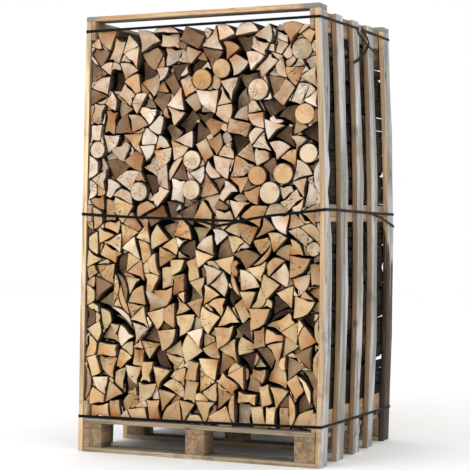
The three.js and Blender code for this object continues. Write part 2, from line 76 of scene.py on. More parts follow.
def addCamera():
    cam = bpy.data.cameras.new("camera")
    cam.lens = camera["lens"]
    cam.sensor_width = camera["sensor"]
    cam.sensor_fit = "HORIZONTAL"
    cam.clip_end = 60
    rig = bpy.data.objects.new("camera", cam)
    bpy.context.scene.collection.objects.link(rig)
    rig.location = camera["place"]
    rig.rotation_euler = (
        math.radians(90 + camera["tiltUp"]),
        math.radians(camera["roll"]),
        math.radians(camera["turnLeft"]),
    )
    bpy.context.scene.camera = rig


addCamera()
deselectAll()
print("camera placed")


# One socket, so that an expression on values adds its Math nodes.
class Wire:
    def __init__(self, sheet, socket):
        self.sheet = sheet
        self.socket = socket

    def combine(self, operation, first, second):
        if self.socket.type == "RGBA":
            return self.sheet.mix(1.0, first, second, operation)
        kind = "ShaderNodeVectorMath" if self.socket.type == "VECTOR" else "ShaderNodeMath"
        return self.sheet.node(kind, {"operation": operation}, {0: first, 1: second})

    def math(self, operation, other=0):
        return self.sheet.node("ShaderNodeMath", {"operation": operation}, {0: self, 1: other})

    def __add__(self, other):
        return self.combine("ADD", self, other)

    def __radd__(self, other):
        return self.combine("ADD", other, self)

    def __sub__(self, other):
        return self.combine("SUBTRACT", self, other)

    def __rsub__(self, other):
        return self.combine("SUBTRACT", other, self)

    def __mul__(self, other):
        return self.combine("MULTIPLY", self, other)

    def __rmul__(self, other):
        return self.combine("MULTIPLY", other, self)

    def __truediv__(self, other):
        return self.combine("DIVIDE", self, other)

    def __pow__(self, other):
        return self.math("POWER", other)

    def __abs__(self):
        return self.math("ABSOLUTE")

    def out(self, name):
        return Wire(self.sheet, self.socket.node.outputs[name])


# A material's node tree: every node comes from node(), by its type, settings and socket values.
class Sheet:
    def __init__(self, name):
        self.material = bpy.data.materials.new(name)
        self.material.use_nodes = True
        self.tree = self.material.node_tree
        self.tree.nodes.clear()

    def node(self, kind, settings=None, sockets=None, output=0):
        made = self.tree.nodes.new(kind)
        for key, value in (settings or {}).items():
            setattr(made, key, value)
        for key, value in (sockets or {}).items():
            if isinstance(value, Wire):
                self.tree.links.new(value.socket, made.inputs[key])
            else:
                made.inputs[key].default_value = value
        return Wire(self, made.outputs[output]) if made.outputs else made

    def place(self):
        return self.node("ShaderNodeTexCoord", output="Object")

    def attribute(self, name, output="Fac"):
        return self.node("ShaderNodeAttribute", {"attribute_name": name}, output=output)

    def parts(self, vector):
        split = self.node("ShaderNodeSeparateXYZ", None, {0: vector})
        return split, split.out("Y"), split.out("Z")

    def stretch(self, vector, scale, shift=(0, 0, 0)):
        return self.node("ShaderNodeMapping", None, {"Vector": vector, "Scale": scale, "Location": shift})

    def noise(self, vector, scale, detail=4, roughness=0.6, distortion=0):
        return self.node("ShaderNodeTexNoise", None, {
            "Vector": vector,
            "Scale": scale,
            "Detail": detail,
            "Roughness": roughness,
            "Distortion": distortion,
        })

    def between(self, value, low, high, toLow=0, toHigh=1):
        values = {0: value, 1: low, 2: high, 3: toLow, 4: toHigh}
        return self.node("ShaderNodeMapRange", {"interpolation_type": "SMOOTHSTEP"}, values)

    def mix(self, share, first, second, blend="MIX"):
        settings = {"data_type": "RGBA", "blend_type": blend}
        return self.node("ShaderNodeMix", settings, {0: share, 6: first, 7: second}, output=2)

    def bump(self, height, strength, distance):
        values = {"Height": height, "Strength": strength, "Distance": distance}
        return self.node("ShaderNodeBump", None, values)

    def finish(self, sockets):
        shader = self.node("ShaderNodeBsdfPrincipled", None, sockets)
        self.node("ShaderNodeOutputMaterial", None, {"Surface": shader})
        return self.material


# a colour as seen on screen, 0 to 255, made linear
def shade(red, green, blue):
    def linear(value):
        value /= 255
        return value / 12.92 if value <= 0.04045 else ((value + 0.055) / 1.055) ** 2.4

    return (linear(red), linear(green), linear(blue), 1)


woodLooks = {
    "ringSpacing": 0.006,  # metres between growth rings
    "turn": 6.283,  # radians in a full turn
    "crackWidth": 0.02,
    "barkScale": 55,
}


def cutEndMaterial():
    sheet = Sheet("cutEnd")
    spot = sheet.attribute("fromPith", "Vector")
    x, y, number = sheet.parts(spot)
    tint = sheet.attribute("endColour", "Color")
    rim = sheet.attribute("rim")
    size = sheet.attribute("logSize")
    place = sheet.node("ShaderNodeCombineXYZ", None, {0: x, 1: y, 2: number * 0.37})
    reach = (x * x + y * y) ** 0.5 + sheet.noise(place, 22, 3) * 0.012
    turns = (reach * (woodLooks["turn"] / woodLooks["ringSpacing"])).math("SINE")
    rings = sheet.between(turns, -0.4, 1) * sheet.between(sheet.noise(place, 9, 1), 0.4, 0.6, 0.25, 1)
    angle = y.math("ARCTAN2", x)
    rayPlace = sheet.node("ShaderNodeCombineXYZ", None, {0: angle * 1.3, 1: number * 3.1, 2: reach * 5})
    ray = sheet.noise(rayPlace, 3.1, 2, 0.5)
    crack = sheet.between(abs(ray - 0.5), 0.001, woodLooks["crackWidth"], 1, 0)
    crackHere = crack * sheet.between(sheet.noise(place, 11, 1), 0.5, 0.58)
    crackHere = crackHere * sheet.between(reach, 0.004, 0.014)
    isCracked = sheet.between((number * 5.71).math("FRACT"), 0.42, 0.5)  # about half of the logs
    crackHere = crackHere * isCracked
    blotch = sheet.noise(place, 16, 5, 0.6)
    cloud = sheet.noise(sheet.stretch(place, (9, 9, 9), (4, 1, 7)), 1, 3)
    fine = sheet.noise(place, 150, 4, 0.7)
    sawMarks = sheet.noise(sheet.stretch(place, (22, 260, 22)), 1, 2)
    heartWarmth = (number * 7.31).math("FRACT")  # some logs have an orange or brown heart
    out = reach / size + (blotch - 0.5) * 0.9
    heart = sheet.between(out, 0.1, 0.95, 1, 0) * sheet.between(heartWarmth, 0.25, 0.9, 0.08, 1)
    heart = heart * sheet.between(size, 0.05, 0.075, 0.4, 1)  # round logs are paler at heart
    heartColour = sheet.mix((number * 3.17).math("FRACT"), shade(238, 186, 128), shade(198, 150, 108))
    ringed = sheet.mix(rings * 0.18, tint, tint * shade(200, 166, 130))
    hearted = sheet.mix(heart, ringed, tint * heartColour)
    clouded = sheet.mix(sheet.between(cloud, 0.46, 0.66, 0, 0.55), hearted, tint * shade(204, 176, 150))
    stained = sheet.mix(sheet.between(blotch, 0.52, 0.72, 0, 0.6), clouded, tint * shade(196, 160, 126))
    paled = sheet.mix(sheet.between(blotch, 0.26, 0.44, 0.4, 0), stained, tint * shade(255, 250, 246))
    speckled = sheet.mix(sheet.between(fine, 0.54, 0.74, 0, 0.35), paled, tint * shade(186, 150, 120))
    marked = sheet.mix(sheet.between(sawMarks, 0.5, 0.75, 0, 0.2), speckled, tint * shade(190, 162, 138))
    pithed = sheet.mix(sheet.between(reach, 0.002, 0.006, 0.55, 0), marked, shade(96, 60, 36))
    cracked = sheet.mix(crackHere * 0.8, pithed, shade(60, 40, 28))
    edged = sheet.mix(sheet.between(rim, 0, 0.8, 0.85, 0), cracked, shade(62, 46, 34))
    # painted shade: ends that lie far behind the front are darkened in mottled patches
    depth = sheet.parts(sheet.place())[1]
    recessShade = sheet.between(abs(depth), 0.43, 0.466, 1, 0)
    recessShade = recessShade * sheet.between(cloud + fine * 0.4, 0.48, 0.86, 0.25, 0.85)
    shaded = sheet.mix(recessShade, edged, shade(34, 24, 17))
    height = rings * 0.3 + sawMarks * 0.5 + fine * 0.5 - crackHere * 2.5 + blotch * 0.8
    return sheet.finish({
        "Base Color": shaded,
        "Roughness": 0.88,
        "Specular IOR Level": 0.3,
        "Normal": sheet.bump(height, 0.7, 0.003),
    })


# painted shade: log sides are darkened deep inside the stack, stay grey where the stack is open, at its
# ends and on top, and are a little lighter near the walls
def paintStackShade(sheet, place, colour):
    x, y, z = sheet.parts(place)
    wander = (sheet.noise(place, 14, 3) - 0.5) * 0.04
    # painted shade mask: strong behind the open ends, fading out on top and weaker near the walls
    dark = sheet.between(abs(y) + wander, 0.43, 0.494, 0.94, 0)
    dark = dark * sheet.between(z + wander, 1.84, 1.95, 1, 0.06) * sheet.between(abs(x), 0.54, 0.6, 1, 0.82)
    return sheet.mix(dark, colour, shade(7, 6, 5))


def splitFaceMaterial():
    sheet = Sheet("splitFace")
    place = sheet.place()
    tint = sheet.attribute("endColour", "Color")
    fibre = sheet.noise(sheet.stretch(place, (95, 6, 95)), 1, 6, 0.7)
    patch = sheet.noise(sheet.stretch(place, (9, 4, 9)), 1, 3)
    # grey split wood, kept dark partly as painted shade of the log sides between the logs
    grey = sheet.mix(sheet.between(patch, 0.35, 0.65), shade(66, 55, 46), shade(104, 93, 82))
    warm = sheet.mix(0.22, grey, tint * shade(190, 160, 130))
    streaked = sheet.mix(sheet.between(fibre, 0.42, 0.66, 0, 0.7), warm, shade(38, 29, 22))
    return sheet.finish({
        "Base Color": paintStackShade(sheet, place, streaked),
        "Roughness": 0.92,
        "Specular IOR Level": 0.12,
        "Normal": sheet.bump(fibre, 0.8, 0.005),
    })


def barkMaterial():
    sheet = Sheet("bark")
    place = sheet.place()
    plates = sheet.noise(sheet.stretch(place, (1, 0.35, 1)), woodLooks["barkScale"], 5, 0.65)
    patch = sheet.noise(place, 11, 3)
    base = sheet.mix(sheet.between(patch, 0.35, 0.7), shade(62, 54, 48), shade(104, 96, 86))
    dark = sheet.mix(sheet.between(plates, 0.42, 0.62, 0.8, 0), base, shade(27, 22, 19))
    lichen = sheet.between(sheet.noise(place, 38, 3), 0.62, 0.7, 0, 0.4)
    dressed = sheet.mix(lichen, dark, shade(124, 124, 110))
    return sheet.finish({
        "Base Color": paintStackShade(sheet, place, dressed),
        "Roughness": 0.94,
        "Specular IOR Level": 0.12,
        "Normal": sheet.bump(plates, 0.9, 0.007),
    })


# Sawn boards. grain is the direction that the fibres run in: 0 for X, 1 for Y, 2 for Z.
def boardMaterial(name, grain, face, edge, wear, endStain=None, barkBelow=None):
    sheet = Sheet(name)
    place = sheet.place()
    tone = sheet.attribute("boardTone")
    offset = sheet.node("ShaderNodeCombineXYZ", None, {0: tone * 7, 1: tone * 11, 2: tone * 5})
    shifted = place + offset

    def along(across, lengthways):
        return sheet.stretch(shifted, tuple(lengthways if i == grain else across for i in range(3)))

    fibre = sheet.noise(along(85, 2.4), 1, 6, 0.7, 0.4)
    band = sheet.noise(along(13, 1.3), 1, 4, 0.6, 0.8)
    patch = sheet.noise(along(9, 5.5), 1, 5, 0.68)
    normal = sheet.node("ShaderNodeTexCoord", output="Normal")
    nx, ny, nz = sheet.parts(normal)
    edgeShare = sheet.between(abs(ny if grain == 2 else nz), 0.5, 0.8)
    faceColour = sheet.mix(sheet.between(band, 0.36, 0.62), face[0], face[1])
    mossy = sheet.mix(sheet.between(patch, 0.5, 0.68, 0, 0.6), faceColour, face[2])
    edgeColour = sheet.mix(tone, edge[0], edge[1])
    sawn = sheet.mix(sheet.between(band, 0.4, 0.66, 0, 0.75), edgeColour, edge[2])
    colour = sheet.mix(edgeShare, mossy, sawn)
    knotPlace = {"Vector": along(1, 0.45), "Scale": 8.5}
    knots = sheet.node("ShaderNodeTexVoronoi", {"feature": "F1"}, knotPlace, output="Distance")
    knot = sheet.between(knots, 0.04, 0.12, 0.8, 0)
    streaked = sheet.mix(sheet.between(fibre, 0.45, 0.68, 0, 0.62), colour, wear)
    paled = sheet.mix(sheet.between(fibre, 0.24, 0.42, 0.35, 0), streaked, shade(214, 206, 192))
    knotted = sheet.mix(knot, paled, shade(78, 52, 34))
    stain = sheet.between(sheet.noise(shifted, 6, 5, 0.72), 0.54, 0.72, 0, 0.55)
    stainsAndShade = sheet.mix(stain, knotted, shade(84, 74, 64))
    x, y, z = sheet.parts(place)
    if grain == 2:  # the faces towards the logs are browner, being less weathered, and darker as painted shade
        inwards = sheet.between(nx * x.math("SIGN"), -0.8, -0.5, 0.8, 0)
        stainsAndShade = sheet.mix(inwards, stainsAndShade, shade(104, 84, 64))
    if endStain:  # weathered ends of a board that lies across the front
        ends = sheet.between(abs(x) + (patch - 0.5) * 0.16, endStain - 0.05, endStain + 0.02)
        stainsAndShade = sheet.mix(ends * 0.85, stainsAndShade, shade(122, 124, 118))
    if barkBelow:
        ragged = z + sheet.noise(sheet.stretch(place, (14, 14, 2.2)), 1, 3) * 1.1
        bark = sheet.between(ragged, barkBelow + 0.5, barkBelow + 0.6, 1, 0)
        dark = sheet.mix(sheet.between(fibre, 0.36, 0.6), shade(34, 27, 22), shade(74, 62, 52))
        pale = sheet.between(sheet.noise(along(26, 1.6), 1, 3), 0.56, 0.64, 0, 0.85)
        stainsAndShade = sheet.mix(bark, stainsAndShade, sheet.mix(pale, dark, shade(158, 128, 96)))
    height = fibre * 0.8 + band * 0.3 + patch * 0.3 - knot * 0.4
    return sheet.finish({
        "Base Color": stainsAndShade,
        "Roughness": sheet.between(fibre, 0.3, 0.8, 0.74, 0.92),
        "Normal": sheet.bump(height, 0.6, 0.0022),
    })


def bandMaterial():
    sheet = Sheet("blackBand")
    place = sheet.place()
    dust = sheet.noise(place, 22, 5, 0.7)
    ribs = sheet.noise(sheet.stretch(place, (18, 18, 620)), 1, 1)
    return sheet.finish({
        "Base Color": sheet.mix(sheet.between(dust, 0.5, 0.8, 0, 0.25), shade(4, 4, 5), shade(26, 26, 28)),
        "Roughness": sheet.between(dust, 0.3, 0.8, 0.5, 0.7),
        "Specular IOR Level": 0.12,
        "Normal": sheet.bump(ribs, 0.25, 0.0005),
    })


def steelMaterial():
    sheet = Sheet("sealSteel")
    spots = sheet.noise(sheet.place(), 260, 4, 0.7)
    return sheet.finish({
        "Base Color": sheet.mix(sheet.between(spots, 0.4, 0.7), shade(150, 170, 196), shade(84, 98, 120)),
        "Metallic": 0.9,
        "Roughness": sheet.between(spots, 0.3, 0.7, 0.32, 0.55),
        "Normal": sheet.bump(spots, 0.2, 0.0004),
    })


cutEnd = cutEndMaterial()
splitFace = splitFaceMaterial()
bark = barkMaterial()
uprightFace = [shade(140, 138, 132), shade(196, 198, 200), shade(150, 138, 112)]
uprightEdge = [shade(248, 212, 164), shade(132, 104, 78), shade(186, 152, 114)]
uprightWood = boardMaterial("uprightBoard", 2, uprightFace, uprightEdge, shade(94, 86, 78))
barkedWood = boardMaterial("barkedBoard", 2, uprightFace, uprightEdge, shade(94, 86, 78), barkBelow=0.95)
sideRailFace = [shade(150, 118, 88), shade(182, 156, 128), shade(120, 104, 88)]
sideRailEdge = [shade(212, 174, 124), shade(168, 134, 100), shade(140, 112, 86)]
sideRailWood = boardMaterial("sideRail", 1, sideRailFace, sideRailEdge, shade(104, 82, 62))
topRailFace = [shade(190, 148, 104), shade(214, 176, 132), shade(136, 120, 102)]
topRailEdge = [shade(160, 148, 132), shade(140, 130, 116), shade(110, 100, 88)]
topRailWood = boardMaterial("topRail", 0, topRailFace, topRailEdge, shade(112, 88, 64), endStain=0.55)
palletBoardFace = [shade(148, 132, 108), shade(186, 168, 138), shade(124, 112, 92)]
palletBoardEdge = [shade(140, 132, 112), shade(120, 110, 90), shade(92, 84, 70)]
palletBoardWood = boardMaterial("palletBoard", 0, palletBoardFace, palletBoardEdge, shade(86, 74, 58))
palletBlockFace = [shade(126, 102, 76), shade(166, 136, 104), shade(108, 94, 74)]
palletBlockEdge = [shade(142, 128, 108), shade(122, 108, 90), shade(92, 80, 66)]
palletBlockWood = boardMaterial("palletBlock", 1, palletBlockFace, palletBlockEdge, shade(76, 62, 48))
blackBand = bandMaterial()
sealSteel = steelMaterial()
print("materials made")


def fillAttribute(mesh, name, kind, values):
    attribute = mesh.attributes.new(name, kind, "POINT")
    key = {"FLOAT": "value", "FLOAT_VECTOR": "vector", "FLOAT_COLOR": "color"}[kind]
    if kind != "FLOAT":
        values = [part for value in values for part in value]
    attribute.data.foreach_set(key, values)


# A sawn board: the CAD board's mesh with its edges worn round.
boards = {"wear": 0.0016, "segments": 2}


def wornBoard(node, material, tone):
    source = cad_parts[node]
    mesh = source.data.copy()
    piece = bpy.data.objects.new(node + "_worn", mesh)
    bpy.context.scene.collection.objects.link(piece)
    makeOnlyActive(piece)
    bpy.ops.object.mode_set(mode="EDIT")
    bpy.ops.mesh.select_all(action="SELECT")
    bpy.ops.mesh.remove_doubles(threshold=0.0001)
    bpy.ops.mesh.dissolve_limited(angle_limit=math.radians(0.2))
    bpy.ops.object.mode_set(mode="OBJECT")
    bevel = piece.modifiers.new("wear", "BEVEL")
    bevel.width = boards["wear"]
    bevel.segments = boards["segments"]
    bevel.limit_method = "ANGLE"
    bevel.angle_limit = math.radians(50)
    applyModifiers(piece)
    bpy.ops.object.shade_smooth_by_angle(angle=math.radians(30))
    piece.data.materials.clear()
    piece.data.materials.append(material)
    fillAttribute(piece.data, "boardTone", "FLOAT", [tone] * len(piece.data.vertices))
    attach(piece, "root")
    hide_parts(node)
    return piece


def buildCrateWood():
    rng = random.Random(4)
    edgeTones = {"left_board_1": 0, "right_board_1": 0.42, "right_board_2": 0.75, "right_board_3": 0.9,
                 "right_board_4": 0.8, "right_board_5": 0.25}
    for node in sorted(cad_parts):
        tone = edgeTones.get(node, rng.random())
        if "_board_" in node and not node.startswith("pallet"):
            wood = barkedWood if node == "right_board_5" else uprightWood
            wornBoard(node, wood, tone)
        elif node.startswith("top_rail"):
            wornBoard(node, topRailWood, tone)
        elif "_rail_" in node:
            wornBoard(node, sideRailWood, tone)
        elif node.startswith("pallet"):
            wood = palletBoardWood if "board" in node else palletBlockWood
            wornBoard(node, wood, tone)


buildCrateWood()
print("crate boards worn")


# Logs. The CAD rows give each log end's outline and how far back it lies.
logs = {
    "seed": 17,
    "cornerCut": 0.0035,
    "endWear": 0.0014,
    "rimWidth": 0.005,
    "roundOut": 0.0032,
    "hollow": 0.0036,  # how far a split side may curve in
    "waver": 0.0018,
    "tornShare": 0.22,
    "torn": 0.009,
    "sunkenBehind": 0.030,  # ends this far behind the crate's front are dark, as painted shade
    "sunkenBy": 0.035,
    "splinterReach": 0.034,  # half the widest space that one splinter fills
    "splinterArea": 0.00024,
    "splinterShare": (0.28, 0.27),  # of the smaller spaces, in the lower and the upper half
    "splinterDepth": (0.004, 0.06),  # how far behind the open end a splinter starts
    "splinterShort": 0.1,  # and how far short of the hidden end one may stop
    "splinterStep": 0.008,  # between the points where a splinter is tried
    "clearance": 0.0014,  # between a splinter and its neighbours
    "narrowest": 0.004,  # the least way that counts as a space, or between two corners
    "coverWidth": 0.05,  # a space needs something above it within this way to the side
    "halfway": 1.12,  # the height at which the drier upper half begins
    "halfwayBlur": 0.12,
    "sunkenShare": 0.65,  # of the ends far back that have a dark colour, as painted shade
    "backUneven": 0.012,
    "sameLog": 0.012,  # logs whose middles are nearer than this are one and the same
    "light": (0.76, 1.06),  # how much darker or lighter one end is than its colour
    "lightLower": (0.78, 1.12),
    "alwaysFilled": 0.0013,
    "filledFrom": 0.47,  # metres from the middle: nearer to the walls every space is filled
    "setBack": 0.022,
    "byWall": 0.03,  # logs this near to the left wall reach its front edge
    "byWallDepth": 0.2,  # and lie this share as far back
    "largest": 0.0062,  # square metres: larger outlines of the back row are split in two
    "bluntCorner": 117,  # degrees: blunter corners are on the bark
    "tilt": 0.06,
    "lengthSpread": 0.006,
}

# what share of the ends has each colour: the drier upper half, the yellower lower half,
# round logs, and ends far back, whose darker colours are painted shade
endColours = {
    "upper": [(0.36, shade(224, 202, 177)), (0.26, shade(214, 187, 156)), (0.12, shade(208, 170, 128)),
              (0.07, shade(194, 152, 108)), (0.05, shade(142, 112, 84)), (0.14, shade(236, 222, 204))],
    "lower": [(0.38, shade(224, 198, 154)), (0.24, shade(216, 184, 140)), (0.14, shade(210, 172, 128)),
              (0.07, shade(190, 152, 112)), (0.05, shade(138, 108, 80)), (0.12, shade(228, 210, 184))],
    "round": [(0.5, shade(228, 208, 178)), (0.25, shade(216, 184, 140)), (0.1, shade(204, 160, 110)),
              (0.15, shade(222, 206, 190))],
    "sunken": [(0.4, shade(156, 128, 98)), (0.25, shade(118, 92, 68)), (0.2, shade(188, 156, 120)),
               (0.15, shade(92, 72, 54))],
}


reading = {
    "merge": 0.00002,
    "facing": 0.999,  # how straight a face looks out of the open end
    "coreArea": 0.08,  # square metres: a larger face is the core's own end, between the logs
    "straight": 178,  # degrees
}


# the flat faces of a CAD row that look straight out of its open end, as outlines with their place along Y
def endOutlines(node, facing):
    bm = bmesh.new()
    bm.from_mesh(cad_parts[node].data)
    bmesh.ops.remove_doubles(bm, verts=bm.verts, dist=reading["merge"])
    outward = [face for face in bm.faces if face.normal.y * facing > reading["facing"]]
    flat = dict.fromkeys(outward)  # not a set, whose order changes from run to run
    outlines = []
    while flat:
        first = next(iter(flat))
        del flat[first]
        group = [first]
        waiting = [first]
        while waiting:
            for edge in waiting.pop().edges:
                for face in edge.link_faces:
                    if face in flat:
                        del flat[face]
                        group.append(face)
                        waiting.append(face)
        if sum(face.calc_area() for face in group) > reading["coreArea"]:
            continue
        following = {}
        for face in group:
            for loop in face.loops:
                inner = sum(1 for linked in loop.edge.link_faces if linked in group)
                if inner == 1:
                    following[loop.vert.index] = (loop.link_loop_next.vert.index, loop.vert.co.copy())
        start = next(iter(following))
        outline, index = [], start
        while True:
            index, place = following[index]
            outline.append(place)
            if index == start:
                break
        corners = [(place.x, place.z) for place in outline]
        if signedArea(corners) < 0:
            corners.reverse()
        outlines.append({"corners": withoutStraight(corners), "end": outline[0].y})
    bm.free()
    return outlines


def signedArea(corners):
    return sum(a[0] * b[1] - b[0] * a[1] for a, b in zip(corners, corners[1:] + corners[:1])) / 2


def cornerAngle(before, corner, after):
    first = Vector(before) - Vector(corner)
    second = Vector(after) - Vector(corner)
    return math.degrees(first.angle(second))


def withoutStraight(corners):
    triples = zip(corners[-1:] + corners[:-1], corners, corners[1:] + corners[:1])
    return [triple[1] for triple in triples if cornerAngle(*triple) < reading["straight"]]


# the centre of the circle through three points
def circleCentre(a, b, c):
    aa, bb, cc = a.length_squared, b.length_squared, c.length_squared
    d = 2 * (a.x * (b.y - c.y) + b.x * (c.y - a.y) + c.x * (a.y - b.y))
    x = (aa * (b.y - c.y) + bb * (c.y - a.y) + cc * (a.y - b.y)) / d
    y = (aa * (c.x - b.x) + bb * (a.x - c.x) + cc * (b.x - a.x)) / d
    return Vector((x, y))


# where the log's heart is, and which of its sides are bark
def readLog(corners):
    points = [Vector(c) for c in corners]
    count = len(points)
    angles = [cornerAngle(corners[i - 1], corners[i], corners[(i + 1) % count]) for i in range(count)]
    barkSides = set()
    pith = None
    for i, angle in enumerate(angles):
        if angle > logs["bluntCorner"]:
            barkSides |= {(i - 1) % count, i}
            pith = circleCentre(points[i - 1], points[i], points[(i + 1) % count])
    if pith is None:
        sharpest = min(range(count), key=lambda i: angles[i])
        pith = points[sharpest].copy()
        if count == 3:
            barkSides.add((sharpest + 1) % 3)
    return points, barkSides, pith


def isRoundLog(corners):
    return len(readLog(corners)[1]) == len(corners)


# the finished outline: corners cut, bark sides rounded out, split sides torn a little inwards
def naturalOutline(corners, rng):
    points, barkSides, pith = readLog(corners)
    count = len(points)
    isRound = isRoundLog(corners)
    result = []
    for i in range(count):
        start, end = points[i], points[(i + 1) % count]
        side = end - start
        length = side.length
        outward = Vector((side.y, -side.x)).normalized()
        isBark = i in barkSides
        cut = 0 if isRound else min(logs["cornerCut"] * rng.uniform(0.3, 1.8), length * 0.2)
        steps = 3 if isRound or isBark or length > 0.05 else 2
        hollow = max(0, rng.gauss(0, 1)) * logs["hollow"] * min(1, length / 0.08)
        for step in range(steps + (0 if isRound else 1)):
            nudge = 0 if step in (0, steps) else rng.uniform(-0.08, 0.08)
            share = (cut + (length - 2 * cut) * step / steps) / length + nudge
            arch = 4 * share * (1 - share)
            if isRound:
                radius = (start - pith).length * (1 - share) + (end - pith).length * share
                onCircle = pith + (start + side * share - pith).normalized() * radius
                push = (onCircle - start - side * share).dot(outward) - rng.random() * logs["waver"] * 0.5
            elif isBark:
                push = arch * logs["roundOut"] - rng.random() * logs["waver"]
            else:
                push = -arch * hollow - rng.random() ** 2 * logs["waver"] * 2
                if 0 < step < steps and length > 0.04 and rng.random() < logs["tornShare"]:
                    push -= rng.uniform(0.4, 1) * logs["torn"]
            result.append((start + side * share + outward * push, isBark))
    return result, pith


def insetBy(outline, distance):
    middle = sum((place for place, isBark in outline), Vector((0, 0))) / len(outline)
    inset = []
    for place, isBark in outline:
        inward = middle - place
        inset.append(place + inward.normalized() * min(distance, inward.length * 0.6))
    return inset


def pickColour(z, sunken, isRound, rng):
    blur = logs["halfwayBlur"]
    group = "upper" if z + rng.uniform(-blur, blur) > logs["halfway"] else "lower"
    # most ends far back take the darker sunken colours: painted shade
    if sunken and rng.random() < logs["sunkenShare"]:
        group = "sunken"
    if isRound:
        group = "round"
    pick = rng.random()
    for share, colour in endColours[group]:
        pick -= share
        if pick <= 0:
            break
    light = rng.uniform(*(logs["lightLower"] if group == "lower" else logs["light"]))
    return tuple(min(1, value * light) for value in colour[:3]) + (1,)


# All logs of a piece go in one joined mesh. Each has rings of points along its length.
class LogPile:
    def __init__(self):
        self.points = []
        self.faces = []
        self.kinds = []  # 0 cut end, 1 split face, 2 bark
        self.fromPith = []
        self.colours = []
        self.rims = []
        self.sizes = []

    def addRing(self, places, depths, rims, pith, number, colour, size):
        first = len(self.points)
        for place, y, rim in zip(places, depths, rims):
            self.points.append((place.x, y, place.y))
            self.fromPith.append((place.x - pith.x, place.y - pith.y, number))
            self.colours.append(colour)
            self.rims.append(rim)
            self.sizes.append(size)
        return first

    # open ends ("near", "far" or none) get a worn edge; the others are hidden between the rows
    def addLog(self, corners, near, far, openEnd, rng, sunken=False):
        outline, pith = naturalOutline(corners, rng)
        count = len(outline)
        flat = [place for place, isBark in outline]
        middle = sum(flat, Vector((0, 0))) / count
        colour = pickColour(middle.y, sunken, isRoundLog(corners), rng)
        number = rng.random() * 10
        drift = Vector((rng.uniform(-0.0012, 0.0012), rng.uniform(-0.0012, 0.0012)))
        swell = [middle + drift + (p - middle) * rng.uniform(0.97, 1.0) for p in flat]
        half = (near + far) / 2 + rng.uniform(-0.05, 0.05)
        worn = insetBy(outline, logs["endWear"])
        rimLine = insetBy(outline, logs["rimWidth"])
        sideRims = [0 if isBark else 0.7 for place, isBark in outline]
        plain = [1] * count
        slope = [rng.gauss(0, 1) * logs["tilt"] for axis in range(2)]

        def sloped(places, y, inwards):
            leans = [(p - middle).x * slope[0] + (p - middle).y * slope[1] for p in places]
            furthest = min(inwards * lean for lean in leans)
            return [y + lean - inwards * furthest for lean in leans]

        def endRings(y, inwards):
            return [
                (rimLine, sloped(rimLine, y, inwards), plain),
                (worn, sloped(worn, y, inwards), sideRims),
                (flat, sloped(flat, y + inwards * logs["endWear"] * 1.3, inwards), sideRims),
            ]

        rings = endRings(near, 1) if openEnd == "near" else [(flat, [near] * count, plain)]
        rings.append((swell, [half] * count, plain))
        rings += reversed(endRings(far, -1)) if openEnd == "far" else [(flat, [far] * count, plain)]
        size = max((place - pith).length for place in flat)
        starts = []
        for places, depths, rims in rings:
            starts.append(self.addRing(places, depths, rims, pith, number, colour, size))
        for level, (a, b) in enumerate(zip(starts, starts[1:])):
            atEnd = level < 2 if openEnd == "near" else level >= 2 if openEnd == "far" else False
            for i in range(count):
                j = (i + 1) % count
                self.faces.append((a + i, a + j, b + j, b + i))
                self.kinds.append(0 if atEnd else 2 if outline[i][1] and outline[j][1] else 1)
        self.faces.append(tuple(starts[0] + i for i in reversed(range(count))))
        self.faces.append(tuple(starts[-1] + i for i in range(count)))
        self.kinds += [0, 0]

    def build(self, name, nodes):
        mesh = bpy.data.meshes.new(name)
        mesh.from_pydata(self.points, [], self.faces)
        for material in (cutEnd, splitFace, bark):
            mesh.materials.append(material)
        mesh.polygons.foreach_set("material_index", self.kinds)
        fillAttribute(mesh, "fromPith", "FLOAT_VECTOR", self.fromPith)
        fillAttribute(mesh, "endColour", "FLOAT_COLOR", self.colours)
        fillAttribute(mesh, "rim", "FLOAT", self.rims)
        fillAttribute(mesh, "logSize", "FLOAT", self.sizes)
        mesh.update()
        piece = bpy.data.objects.new(name, mesh)
        bpy.context.scene.collection.objects.link(piece)
        makeOnlyActive(piece)
        bpy.ops.object.mode_set(mode="EDIT")
        bpy.ops.mesh.select_all(action="SELECT")
        bpy.ops.mesh.normals_make_consistent(inside=False)
        bpy.ops.object.mode_set(mode="OBJECT")
        bpy.ops.object.shade_smooth_by_angle(angle=math.radians(38))
        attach(piece, "root")
        for node in nodes:
            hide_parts(node)
        return piece


# where the inside of a wall is at a height, read from its first board
def insideOfWall(side):
    profile = {}
    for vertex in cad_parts[side + "_board_1"].data.vertices:
        key = round(vertex.co.z, 4)
        inner = max if side == "left" else min
        profile[key] = inner(profile.get(key, vertex.co.x), vertex.co.x)
    heights = sorted(profile)

    def at(z):
        for lower, upper in zip(heights, heights[1:]):
            if z <= upper:
                share = (z - lower) / (upper - lower)
                return profile[lower] + (profile[upper] - profile[lower]) * share
        return profile[heights[-1]]

    return at


def nearestOn(corners, point):
    best = None
    for a, b in zip(corners, corners[1:] + corners[:1]):
        side = b - a
        share = max(0, min(1, (point - a).dot(side) / side.length_squared))
        spot = a + side * share
        if best is None or (spot - point).length < (best - point).length:
            best = spot
    return best


def isInside(corners, point):
    return all((b - a).cross(point - a) > 0 for a, b in zip(corners, corners[1:] + corners[:1]))


# what lies on the inward side of the line through a spot
def clipped(corners, spot, inward):
    kept = []
    for a, b in zip(corners, corners[1:] + corners[:1]):
        first, second = (a - spot).dot(inward), (b - spot).dot(inward)
        if first >= 0:
            kept.append(a)
        if first * second < 0:
            kept.append(a + (b - a) * (first / (first - second)))
    return kept


